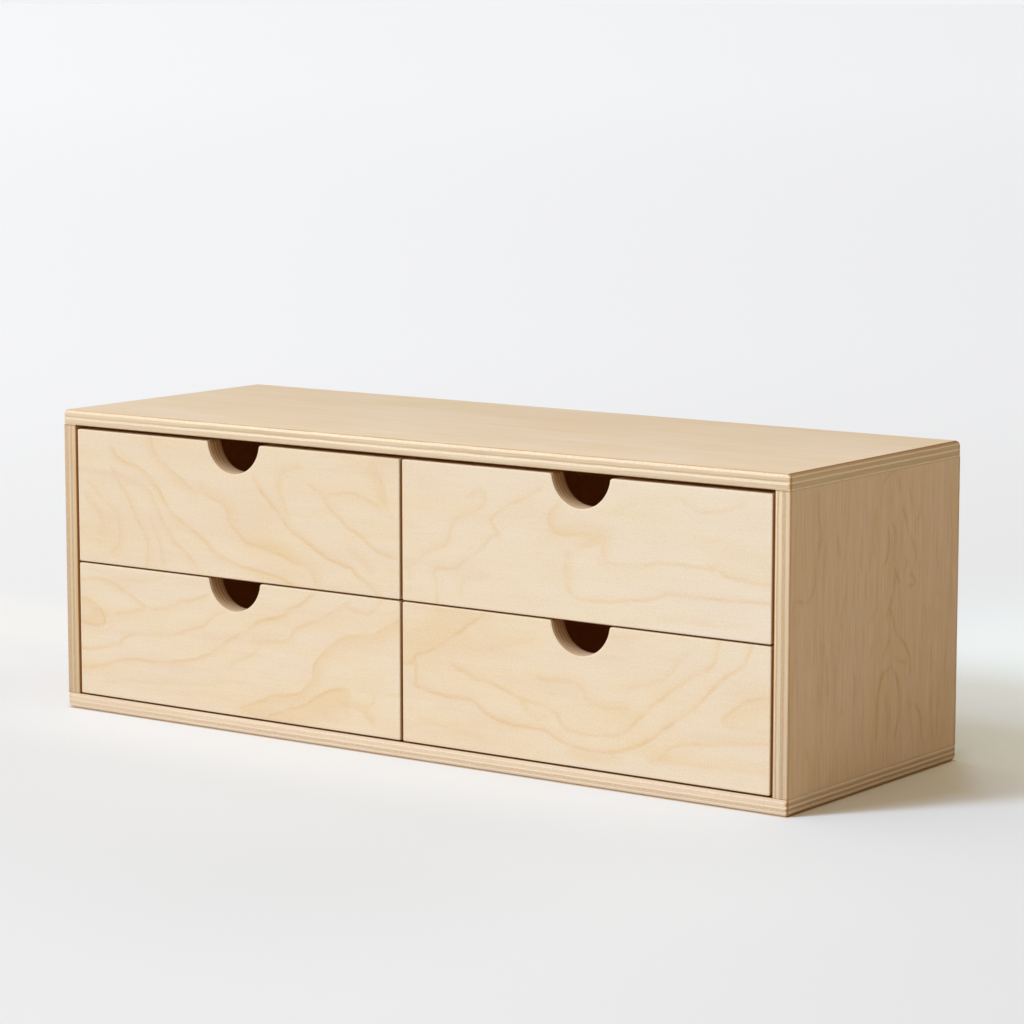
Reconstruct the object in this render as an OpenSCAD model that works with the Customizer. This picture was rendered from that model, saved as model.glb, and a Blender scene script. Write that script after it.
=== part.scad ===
// Desktop mini drawers: a low birch plywood case with four drawers, two wide and two high.
// Millimetres. X runs along the width, -Y is the front and Z is up.
// The origin is the middle of the footprint, on the surface that the case stands on.

/* [Case] */
// Width over the top and bottom boards
case_w = 500; // [420:2:600]
// Depth from the front edges to the rear edges
case_d = 176; // [160:2:220]
// Thickness of the case boards and of the partition
board_t = 9; // [9:0.5:12]
// Thickness of the shelves, the back panel and the drawer bottoms
thin_t = 3; // [3:0.5:4]
// Radius on the outer edges of the top and bottom boards
edge_r = 2.5; // [1:0.5:4]
// Radius on the upright outer corners
corner_r = 1; // [0.5:0.5:2.5]
// Distance from the rear edges of the case to the back panel
back_inset = 6; // [4:1:10]
// Distance from the back of the drawer fronts to the shelves
shelf_setback = 6; // [1:1:20]

/* [Drawer fronts] */
// Thickness of a drawer front
front_t = 12; // [10:0.5:15]
// Height of a drawer front
front_h = 78; // [70:1:100]
// Gap between a front and the side panel
side_gap = 1.5; // [0.5:0.1:2]
// Gap between the left and the right fronts
middle_gap = 1.8; // [0.5:0.1:3]
// Gap between the lower and the upper fronts
row_gap = 1; // [0.5:0.1:3]
// Gap below the lower fronts
floor_gap = 1; // [0.5:0.1:3]
// Gap above the upper fronts
ceiling_gap = 2; // [1:0.1:4]
// Radius on the arrises round the face of a front
face_r = 0.5; // [0.2:0.1:1.5]

/* [Finger notch] */
// Radius of the half-round notch
notch_r = 19; // [14:0.5:24]
// Height of the notch's centre above the front's top edge
notch_rise = 1.5; // [0.5:0.5:4]
// Radius on the two shoulders of the notch
shoulder_r = 1.5; // [0.5:0.5:3]

/* [Drawer boxes] */
// Thickness of the sides and the back of a drawer
box_t = 6; // [6:0.5:8]
// Height of the sides and the back of a drawer
box_h = 72; // [55:1:72]
// Play between a drawer box and the case on each side
box_play = 1; // [0.5:0.1:2]
// Running gap below a drawer box
run_gap = 0.3; // [0.2:0.1:0.5]
// Space between a closed drawer and the back panel
rear_gap = 3; // [2:1:10]
// Height of the drawer bottom above the lower edge of its sides
bottom_rise = 5; // [3:0.5:10]
// Length of the drawer sides behind the drawer back
side_tail = 6; // [3:1:12]

/* [Joints] */
// Depth of the grooves that hold the thin panels
groove_d = 3; // [2:0.5:3]
// Depth of the housings in a front that hold the drawer sides
housing_d = 4; // [3:0.5:5]
// Diameter of the case dowels
dowel_d = 5; // [4:0.5:5]
// Length of the case dowels
dowel_l = 20; // [16:1:30]
// Length of a dowel that sits in the top or the bottom board
dowel_bite = 6; // [4:0.5:6]
// Glue space round a dowel
dowel_glue = 0.05; // [0.02:0.01:0.1]
// Glue space past the end of a dowel
dowel_relief = 0.5; // [0.2:0.1:1]
// Distance from the middle of a side panel to its outer dowels
side_dowel_span = 60; // [40:5:70]
// Distance from the middle of the case to the partition's outer dowels
partition_dowel_span = 50; // [30:5:60]

/* [Hidden] */
$fn = 96;
cut = 0.5; // how far a cutter runs past the face that it opens

face_tone = [0.93, 0.86, 0.75];
case_tone = [0.88, 0.80, 0.69];
inner_tone = [0.82, 0.72, 0.58];
dowel_tone = [0.76, 0.62, 0.44];

front_y = -case_d / 2;
rear_y = case_d / 2;
inner_w = case_w - 2 * board_t;
inner_h = floor_gap + 2 * front_h + row_gap + ceiling_gap;
case_h = inner_h + 2 * board_t;
row_pitch = front_h + row_gap;

stop_gap = 0.5; // between the drawer fronts and the partition that stops them
back_y = rear_y - back_inset - thin_t; // face of the back panel inside the case
partition_y = front_y + front_t + stop_gap;
shelf_y = front_y + front_t + shelf_setback;
shelf_z = board_t + row_pitch - thin_t;

// The lower left drawer; the others are its copies, raised by a row or mirrored
front_x = [-inner_w / 2 + side_gap, -middle_gap / 2];
front_z = board_t + floor_gap;
front_w = front_x[1] - front_x[0];
notch_x = (front_x[0] + front_x[1]) / 2;
box_x = [-inner_w / 2 + box_play, -board_t / 2 - box_play];
box_z = board_t + run_gap;
box_y = [front_y + front_t, back_y - rear_gap];
bottom_z = box_z + bottom_rise;
panel_x = [box_x[0] + box_t - groove_d, box_x[1] - box_t + groove_d];
drawer_back_y = box_y[1] - side_tail - box_t;

// The case dowels stand at these places on a joint, along Y
side_dowel_y = [-side_dowel_span, 0, side_dowel_span];
partition_dowel_y = [-partition_dowel_span, 0, partition_dowel_span];
side_dowel_x = (inner_w + board_t) / 2;

COLUMNS = ["left", "right"];
ROWS = ["bottom", "top"];
DRAWER_PIECES = ["front", "outer_side", "inner_side", "back", "base"];
CASE_NODES = [
    "top_board", "bottom_board", "left_side_panel", "right_side_panel", "partition",
    "left_shelf", "right_shelf", "back_panel",
    "left_panel_dowels", "right_panel_dowels", "partition_dowels"
];
DRAWER_NODES = [
    for (row = ROWS, column = COLUMNS, piece = DRAWER_PIECES)
        str(row, "_", column, "_drawer_", piece)
];

// A rectangle from the origin with its own radius on each corner: near left, near right, far right, far left
module eased_rectangle(size, radii) {
    corners = [[0, 0], [size[0], 0], [size[0], size[1]], [0, size[1]]];
    inward = [[1, 1], [-1, 1], [-1, -1], [1, -1]];
    difference() {
        square(size);
        for (i = [0:3])
            if (radii[i] > 0)
                translate(corners[i] + radii[i] * inward[i]) difference() {
                    quadrant(-inward[i], radii[i] + cut);
                    circle(radii[i]);
                }
    }
}

// The square that fills one quadrant round the origin
module quadrant(direction, side) {
    translate([min(0, direction[0] * side), min(0, direction[1] * side)]) square(side);
}

// A straight-edged piece between two corners
module block(low, high) {
    translate(low) cube(high - low);
}

// Raises the lower left drawer by rows, and mirrors it for the right-hand column
module at_drawer(column, row) {
    translate([0, 0, row * row_pitch]) mirror([column, 0, 0]) children();
}

// A case board lying flat on Z = 0, with its outer edges rounded on the upper side
module rounded_board() {
    intersection() {
        translate([-case_w / 2, -case_d / 2, -cut])
            linear_extrude(board_t + 2 * cut)
                eased_rectangle([case_w, case_d], [corner_r, corner_r, corner_r, corner_r]);
        translate([-case_w / 2, case_d / 2 + cut, 0])
            rotate([90, 0, 0]) linear_extrude(case_d + 2 * cut)
                eased_rectangle([case_w, board_t], [0, 0, edge_r, edge_r]);
        translate([-case_w / 2 - cut, -case_d / 2, 0])
            rotate([90, 0, 90]) linear_extrude(case_w + 2 * cut)
                eased_rectangle([case_d, board_t], [0, 0, edge_r, edge_r]);
    }
}

// One dowel standing on its lower end, with both ends chamfered
module dowel() {
    r = dowel_d / 2;
    chamfer = r / 5;
    half = [[0, 0], [r - chamfer, 0], [r, chamfer]];
    outline = concat(half, [for (i = [2:-1:0]) [half[i][0], dowel_l - half[i][1]]]);
    rotate_extrude() polygon(outline);
}

// Runs its child at the foot of each dowel of an upright panel, in the bottom board and in the top board
module at_dowels(x, places) {
    for (y = places) {
        translate([x, y, board_t - dowel_bite]) children();
        translate([x, y, case_h - board_t + dowel_bite]) mirror([0, 0, 1]) children();
    }
}

module dowel_holes() {
    translate([0, 0, -dowel_relief])
        cylinder(r = dowel_d / 2 + dowel_glue, h = dowel_l + 2 * dowel_relief);
}

module all_dowel_holes() {
    at_dowels(-side_dowel_x, side_dowel_y) dowel_holes();
    at_dowels(side_dowel_x, side_dowel_y) dowel_holes();
    at_dowels(0, partition_dowel_y) dowel_holes();
}

// The room that the back panel fills, in the grooves of the boards and the side panels
module back_panel_space() {
    block(
        [-inner_w / 2 - groove_d, back_y, board_t - groove_d],
        [inner_w / 2 + groove_d, back_y + thin_t, case_h - board_t + groove_d]
    );
}

// The room that a shelf fills, in the grooves of a side panel and the partition
module left_shelf_space() {
    block(
        [-inner_w / 2 - groove_d, shelf_y, shelf_z],
        [-board_t / 2 + groove_d, back_y, shelf_z + thin_t]
    );
}

module top_board() {
    color(case_tone) difference() {
        translate([0, 0, case_h - board_t]) rounded_board();
        back_panel_space();
        all_dowel_holes();
    }
}

module bottom_board() {
    color(case_tone) difference() {
        translate([0, 0, board_t]) mirror([0, 0, 1]) rounded_board();
        back_panel_space();
        all_dowel_holes();
    }
}

module left_side_panel() {
    color(case_tone) difference() {
        translate([-case_w / 2, -case_d / 2, board_t])
            linear_extrude(inner_h) eased_rectangle([board_t, case_d], [corner_r, 0, 0, corner_r]);
        back_panel_space();
        left_shelf_space();
        at_dowels(-side_dowel_x, side_dowel_y) dowel_holes();
    }
}

module partition() {
    color(inner_tone) difference() {
        block([-board_t / 2, partition_y, board_t], [board_t / 2, back_y, board_t + inner_h]);
        for (column = [0, 1]) mirror([column, 0, 0]) left_shelf_space();
        at_dowels(0, partition_dowel_y) dowel_holes();
    }
}

module left_shelf() {
    color(inner_tone) left_shelf_space();
}

module back_panel() {
    color(inner_tone) back_panel_space();
}

module left_panel_dowels() {
    color(dowel_tone) at_dowels(-side_dowel_x, side_dowel_y) dowel();
}

module partition_dowels() {
    color(dowel_tone) at_dowels(0, partition_dowel_y) dowel();
}

// Outline of the finger notch in X and Z, round the middle of the front's top edge
module notch_outline() {
    reach = sqrt(pow(notch_r + shoulder_r, 2) - pow(notch_rise + shoulder_r, 2)); // to a shoulder's centre
    translate([0, notch_rise]) circle(notch_r);
    for (side = [0, 1])
        mirror([side, 0]) difference() {
            polygon([[0, notch_rise], [reach, -shoulder_r], [reach, cut], [0, cut]]);
            translate([reach, -shoulder_r]) circle(shoulder_r);
        }
}

module drawer_front() {
    color(face_tone) difference() {
        intersection() {
            translate([front_x[0], front_y, front_z - cut])
                linear_extrude(front_h + 2 * cut)
                    eased_rectangle([front_w, front_t], [face_r, face_r, 0, 0]);
            translate([front_x[0] - cut, front_y, front_z])
                rotate([90, 0, 90]) linear_extrude(front_w + 2 * cut)
                    eased_rectangle([front_t, front_h], [face_r, 0, 0, face_r]);
        }
        translate([notch_x, front_y + front_t + cut, front_z + front_h])
            rotate([90, 0, 0]) linear_extrude(front_t + 2 * cut) notch_outline();
        drawer_outer_side_space();
        drawer_inner_side_space();
        drawer_base_space();
    }
}

// A drawer side runs from its housing in the front to the tail behind the drawer back
module drawer_side_space(x) {
    block([x, box_y[0] - housing_d, box_z], [x + box_t, box_y[1], box_z + box_h]);
}

module drawer_outer_side_space() {
    drawer_side_space(box_x[0]);
}

module drawer_inner_side_space() {
    drawer_side_space(box_x[1] - box_t);
}

// The drawer back is let into both sides
module drawer_back_space() {
    block(
        [panel_x[0], drawer_back_y, box_z],
        [panel_x[1], drawer_back_y + box_t, box_z + box_h]
    );
}

// The base sits in grooves in the front, the sides and the back
module drawer_base_space() {
    block(
        [panel_x[0], box_y[0] - groove_d, bottom_z],
        [panel_x[1], drawer_back_y + groove_d, bottom_z + thin_t]
    );
}

module drawer_outer_side() {
    color(inner_tone) difference() {
        drawer_outer_side_space();
        drawer_back_space();
        drawer_base_space();
    }
}

module drawer_inner_side() {
    color(inner_tone) difference() {
        drawer_inner_side_space();
        drawer_back_space();
        drawer_base_space();
    }
}

module drawer_back() {
    color(inner_tone) difference() {
        drawer_back_space();
        drawer_base_space();
    }
}

module drawer_base() {
    color(inner_tone) drawer_base_space();
}

module mirrored() {
    mirror([1, 0, 0]) children();
}

top_board();
bottom_board();
left_side_panel();
mirrored() left_side_panel();  // right_side_panel
partition();
left_shelf();
mirrored() left_shelf();  // right_shelf
back_panel();
left_panel_dowels();
mirrored() left_panel_dowels();  // right_panel_dowels
partition_dowels();
for (row = [0, 1], column = [0, 1]) {
    drawer = str(ROWS[row], "_", COLUMNS[column], "_drawer_");
    at_drawer(column, row) drawer_front();
    at_drawer(column, row) drawer_outer_side();
    at_drawer(column, row) drawer_inner_side();
    at_drawer(column, row) drawer_back();
    at_drawer(column, row) drawer_base();
}
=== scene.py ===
import math

import bpy
import numpy as np
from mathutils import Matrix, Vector


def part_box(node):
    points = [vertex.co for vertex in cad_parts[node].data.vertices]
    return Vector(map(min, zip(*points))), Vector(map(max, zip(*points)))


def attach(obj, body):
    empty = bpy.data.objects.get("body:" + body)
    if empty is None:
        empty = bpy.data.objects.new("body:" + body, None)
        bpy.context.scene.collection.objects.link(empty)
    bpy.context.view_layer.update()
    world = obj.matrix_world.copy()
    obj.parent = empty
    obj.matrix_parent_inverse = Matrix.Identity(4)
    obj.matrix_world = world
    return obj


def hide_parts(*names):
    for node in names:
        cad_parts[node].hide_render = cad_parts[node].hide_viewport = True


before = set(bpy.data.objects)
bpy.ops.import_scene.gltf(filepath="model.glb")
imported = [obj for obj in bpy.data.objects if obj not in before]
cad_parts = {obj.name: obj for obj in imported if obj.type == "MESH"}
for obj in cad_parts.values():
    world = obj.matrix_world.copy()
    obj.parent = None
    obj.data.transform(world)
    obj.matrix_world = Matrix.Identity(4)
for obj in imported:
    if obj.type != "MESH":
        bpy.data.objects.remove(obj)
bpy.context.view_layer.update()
mm = 0.001

# camera, lamps, world and floor

camera = {
    "place": (1.2024, -1.6345, 0.4147),
    "down": 8.05,                       # degrees below the horizon
    "turn": 36.08,                      # degrees to the left of straight ahead
    "lens": 126.8,
    "sensor": 36,
    "farthest": 3000,                   # metres that it sees, past the rim of the floor
}
bpy.ops.object.camera_add(location=camera["place"])
eye = bpy.context.object
eye.rotation_euler = (math.radians(90 - camera["down"]), 0, math.radians(camera["turn"]))
eye.data.lens = camera["lens"]
eye.data.sensor_width = camera["sensor"]
eye.data.clip_end = camera["farthest"]
bpy.context.scene.camera = eye
bpy.context.scene.view_settings.view_transform = "Standard"
print("camera placed")

# each lamp: degrees left of the front, height in degrees, softness in degrees, strength, colour
lamps = {
    "keyLow": (35, 30, 12, 1.90, (0.68, 0.80, 0.98)),
    "keyMiddle": (35, 42, 12, 0.22, (0.68, 0.80, 0.98)),
    "keyHigh": (35, 54, 12, 0.47, (0.74, 0.84, 0.98)),
    "overhead": (30, 72, 120, 2.48, (1.0, 0.87, 0.71)),
}


def addLamp(name, left, height, softness, strength, colour, distance=3):
    around = math.radians(left)
    up = math.radians(height)
    towards = Vector((-math.sin(around) * math.cos(up), -math.cos(around) * math.cos(up), math.sin(up)))
    bpy.ops.object.light_add(type="SUN", location=towards * distance)
    lamp = bpy.context.object
    lamp.name = name
    lamp.rotation_mode = "QUATERNION"
    lamp.rotation_quaternion = towards.to_track_quat("Z", "Y")
    lamp.data.angle = math.radians(softness)
    lamp.data.energy = strength
    lamp.data.color = colour


for lampName, facts in lamps.items():
    addLamp(lampName, *facts)
print("lamps placed")


class Shade:
    # one output in a node tree; sums and products with it add Math nodes

    def __init__(self, tree, socket=None):
        self.tree = tree
        self.socket = socket

    def node(self, kind, settings=None, sockets=None, output=0):
        made = self.tree.nodes.new(kind)
        for key, value in (settings or {}).items():
            if key == "stops":
                ramp = made.color_ramp
                for number, (place, colour) in enumerate(value):
                    stop = ramp.elements[number] if number < 2 else ramp.elements.new(place)
                    stop.position = place
                    stop.color = (*colour, 1)
            else:
                setattr(made, key, value)
        for key, value in (sockets or {}).items():
            if isinstance(value, Shade):
                self.tree.links.new(value.socket, made.inputs[key])
            else:
                made.inputs[key].default_value = value
        return Shade(self.tree, made.outputs[output])

    def math(self, operation, *values):
        return self.node("ShaderNodeMath", {"operation": operation}, dict(enumerate(values)))

    def __add__(self, other):
        return self.math("ADD", self, other)

    def __radd__(self, other):
        return self.math("ADD", other, self)

    def __sub__(self, other):
        return self.math("SUBTRACT", self, other)

    def __rsub__(self, other):
        return self.math("SUBTRACT", other, self)

    def __mul__(self, other):
        return self.math("MULTIPLY", self, other)

    def __rmul__(self, other):
        return self.math("MULTIPLY", other, self)

    def __truediv__(self, other):
        return self.math("DIVIDE", self, other)

    def __rtruediv__(self, other):
        return self.math("DIVIDE", other, self)

    def __pow__(self, other):
        return self.math("POWER", self, other)

    def size(self):
        return self.math("ABSOLUTE", self)

    def atLeast(self, other):
        return self.math("MAXIMUM", self, other)

    def atMost(self, other):
        return self.math("MINIMUM", self, other)

    def distance(self, other):
        # the long side of a right triangle over these two
        return self.math("SQRT", self * self + other * other)

    def parts(self):
        return [self.node("ShaderNodeSeparateXYZ", None, {0: self}, place) for place in range(3)]

    def attribute(self, name):
        return self.node("ShaderNodeAttribute", {"attribute_name": name}, None, "Vector").parts()

    def vector(self, *values):
        return self.node("ShaderNodeCombineXYZ", None, dict(enumerate(values)))

    def noise(self, detail=2, rough=0.5):
        return self.node("ShaderNodeTexNoise", None,
                         {"Vector": self, "Scale": 1, "Detail": detail, "Roughness": rough})

    def ease(self, low, high):
        # 0 below low, 1 above high, a soft rise between; low may be above high
        return self.node("ShaderNodeMapRange", {"interpolation_type": "SMOOTHSTEP"},
                         {0: self, "From Min": low, "From Max": high, "To Min": 0, "To Max": 1})

    def blend(self, first, second, kind="MIX"):
        # self is the factor between two colours
        return self.node("ShaderNodeMix", {"data_type": "RGBA", "blend_type": kind, "clamp_factor": True},
                         {0: self, 6: first, 7: second}, 2)

    def stain(self, colour, by):
        # colour, darkened by another colour where self is 1
        return self.blend(colour, rgb(*by), "MULTIPLY")


def rgb(*values):
    return (*values, 1)


def startTree(owner):
    owner.use_nodes = True
    owner.node_tree.nodes.clear()
    return Shade(owner.node_tree)


def endTree(shader, kind="ShaderNodeOutputMaterial"):
    end = shader.tree.nodes.new(kind)
    shader.tree.links.new(shader.socket, end.inputs["Surface"])


backdrop = {
    "seen": (0.905, 0.91, 0.925),       # what the camera sees
    "given": (0.03, 0.028, 0.025),      # what lights the object
}
world = bpy.data.worlds.new("studio")
bpy.context.scene.world = world
start = startTree(world)
fromCamera = start.node("ShaderNodeLightPath", output="Is Camera Ray")
seen = fromCamera.atLeast(start.node("ShaderNodeLightPath", output="Is Transmission Ray"))
sky = seen.blend(rgb(*backdrop["given"]), rgb(*backdrop["seen"]))
endTree(start.node("ShaderNodeBackground", None, {"Color": sky, "Strength": 1}), "ShaderNodeOutputWorld")

floor = {
    "width": 1200,
    "middle": 8,                        # metres of fine floor under the object
    "object": (0.25, 0.088),            # half the width and depth of what stands on it
    "near": (0.749, 0.783, 0.821),
    "middleColour": (0.812, 0.850, 0.900),
    "far": (0.840, 0.881, 0.937),
    "given": (0.62, 0.60, 0.57),        # colour that it throws back on the object
    "from": (1.20, -1.63),              # where its tones are measured from, under the camera
    "turn": 36,
    "toMiddle": (1.8, 4.5),             # metres from there to where near gives way to middleColour
    "toFar": (4, 18),
    "fall": -0.262,                     # how fast painted shade darkens it to the right
    "dip": 0.10,                        # how much painted shade darkens it in front of the object
    "dipReach": (0.12, 0.52),           # metres from the object to where that is strongest, and nearly over
    "warm": (0.84, 0.765, 0.615),       # painted shadow beside the right panel, warm as if its wood threw its colour on it
    "lift": (1.09, 1.135, 1.12),        # painted light that lifts the shadow behind the right panel
    "behind": (1.04, 1.03, 1.0),        # painted light on a strip close behind the object
    "contact": (0.95, 0.70, 0.48),      # painted contact shadow in the crack under the rounded edges
}
bpy.ops.object.select_all(action="DESELECT")
bpy.ops.mesh.primitive_plane_add(size=floor["width"], location=(0, 0, 0))
ground = bpy.context.object
ground.name = "floor"
bpy.ops.object.mode_set(mode="EDIT")
bpy.ops.mesh.select_all(action="SELECT")
bpy.ops.mesh.inset(thickness=(floor["width"] - floor["middle"]) / 2)
bpy.ops.object.mode_set(mode="OBJECT")
floorPaint = bpy.data.materials.new("pale floor")
start = startTree(floorPaint)
spotX, spotY, _ = start.node("ShaderNodeTexCoord", output="Object").parts()

# painted light fall-off: from white far off to grey close by, and darker to the right
east = spotX - floor["from"][0]
north = spotY - floor["from"][1]
cosine, sine = math.cos(math.radians(floor["turn"])), math.sin(math.radians(floor["turn"]))
ahead = north * cosine - east * sine
aside = (east * cosine + north * sine) / ahead.atLeast(0.5)
aside = aside.atLeast(-0.2).atMost(0.2)
away = east.distance(north)
paint = away.ease(*floor["toMiddle"]).blend(rgb(*floor["near"]), rgb(*floor["middleColour"]))
paint = away.ease(*floor["toFar"]).blend(paint, rgb(*floor["far"]))

# painted shade: a soft dip in front of the object, less toward its right end
halfWidth, halfDepth = floor["object"]
near = (spotX.size() - halfWidth).atLeast(0).distance((spotY.size() - halfDepth).atLeast(0))
inFront = spotY.ease(0.02, -0.12) * (1 - 0.9 * spotX.ease(0.1, 0.34))
darkest, over = floor["dipReach"]
dip = near.ease(0, darkest) * (1 - 0.85 * near.ease(darkest, over)) * inFront
paint = start.node("ShaderNodeVectorMath", {"operation": "SCALE"},
                   {0: paint, "Scale": (1 + aside * floor["fall"]) * (1 - dip * floor["dip"])})

# painted shade and light: a warm painted shadow beside the right panel, painted light behind it, and a
# painted contact shadow in the crack under the object
beside = spotX - halfWidth
reach = beside + 0.7 * (spotY - 0.02).atLeast(0)
shaded = ((spotY + halfDepth) / beside.atLeast(0.002)).ease(0.8, 3.1)
warm = reach.ease(0.066, 0.034) * shaded * spotX.ease(0.235, 0.24)
paint = warm.stain(paint, floor["warm"])
lift = spotY.ease(-0.02, 0.09) * spotY.ease(0.80, 0.40) * spotX.ease(-0.1, 0.1)
paint = lift.stain(paint, floor["lift"])
paint = (spotY.ease(0.03, 0.09) * spotY.ease(0.22, 0.14)).stain(paint, floor["behind"])
paint = near.ease(0.0015, 0).stain(paint, floor["contact"])
fromCamera = start.node("ShaderNodeLightPath", output="Is Camera Ray")
paint = fromCamera.blend(rgb(*floor["given"]), paint)
endTree(start.node("ShaderNodeBsdfPrincipled", None,
                   {"Base Color": paint, "Roughness": 0.9, "Specular IOR Level": 0.1}))
ground.data.materials.append(floorPaint)
print("world and floor made")

# plywood: a stack is a list of plies as an edge shows them, from the good face down, with where each ends
# in mm, how light it is, and whether its grain runs across
stacks = {
    "case": [(0.62, 0.10, 0), (2.2, 0.78, 1), (3.7, 0.28, 0), (4.5, 0.00, 0), (6.0, 1.00, 1),
             (8.2, 0.38, 0), (9.0, 0.22, 1)],
    "caseEnd": [(1.4, 0.25, 1), (2.3, 1.00, 0), (4.4, 0.15, 1), (5.4, 1.00, 0), (8.0, 0.12, 1),
                (9.0, 0.90, 0)],
    "bottom": [(1.1, 0.72, 0), (2.1, 0.90, 1), (2.8, 0.60, 1), (3.3, 0.72, 0), (3.9, 0.60, 1),
               (4.8, 0.97, 0), (6.5, 0.30, 1), (8.7, 0.97, 0), (9.0, 0.60, 1)],
    "bottomEnd": [(0.2, 0.30, 1), (1.4, 0.95, 0), (2.3, 0.25, 1), (3.3, 0.00, 1), (4.6, 0.95, 0),
                  (6.0, 0.00, 1), (7.4, 0.85, 0), (9.0, 0.10, 1)],
    "panel": [(2.5, 0.60, 0), (4.6, 0.05, 1), (6.8, 0.64, 0), (7.75, 0.00, 1), (9.0, 1.00, 0)],
    "leftPanel": [(0.5, 0.40, 0), (3.1, 0.08, 1), (4.7, 0.50, 0), (5.9, 0.06, 1), (9.0, 0.58, 0)],
    "front": [(0.8, 0.35, 0), (2.0, 0.85, 1), (3.3, 0.15, 0), (4.6, 0.95, 1), (5.9, 0.10, 0),
              (7.2, 0.95, 1), (8.5, 0.10, 0), (9.8, 0.90, 1), (11.1, 0.15, 0), (12.0, 0.60, 0)],
    "side": [(0.7, 0.60, 0), (2.2, 0.95, 1), (3.8, 0.25, 0), (5.3, 0.90, 1), (6.0, 0.60, 0)],
    "thin": [(0.7, 0.60, 0), (2.3, 0.90, 1), (3.0, 0.60, 0)],
}

# where a tone, a stain or a painted shade fades in, in mm from the middle of the case
fades = {
    "boardEnd": (248.3, 249.1),         # on the ends of the outer boards
    "opening": (241.2, 240.8),          # between the side panels
    "leftPanel": (-240, -240.8),        # on the left side panel
    "openingFront": (-76, -79),         # toward the front, beside the fronts' edges, for the painted gap shade on the inner sides
}


def rampStops(stack, blur=0.14):
    # red is the tone, green the way of the grain, blue the glue line; blur is in mm
    total = stack[-1][0]
    stops = [(0, (stack[0][1], stack[0][2], 0))]
    for (end, tone, cross), (_, nextTone, nextCross) in zip(stack, stack[1:]):
        stops.append(((end - blur) / total, (tone, cross, 0)))
        stops.append((end / total, ((tone + nextTone) / 2, nextCross, 1)))
        stops.append(((end + blur) / total, (nextTone, nextCross, 0)))
    stops.append((1, (stack[-1][1], stack[-1][2], 0)))
    return stops


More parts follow.
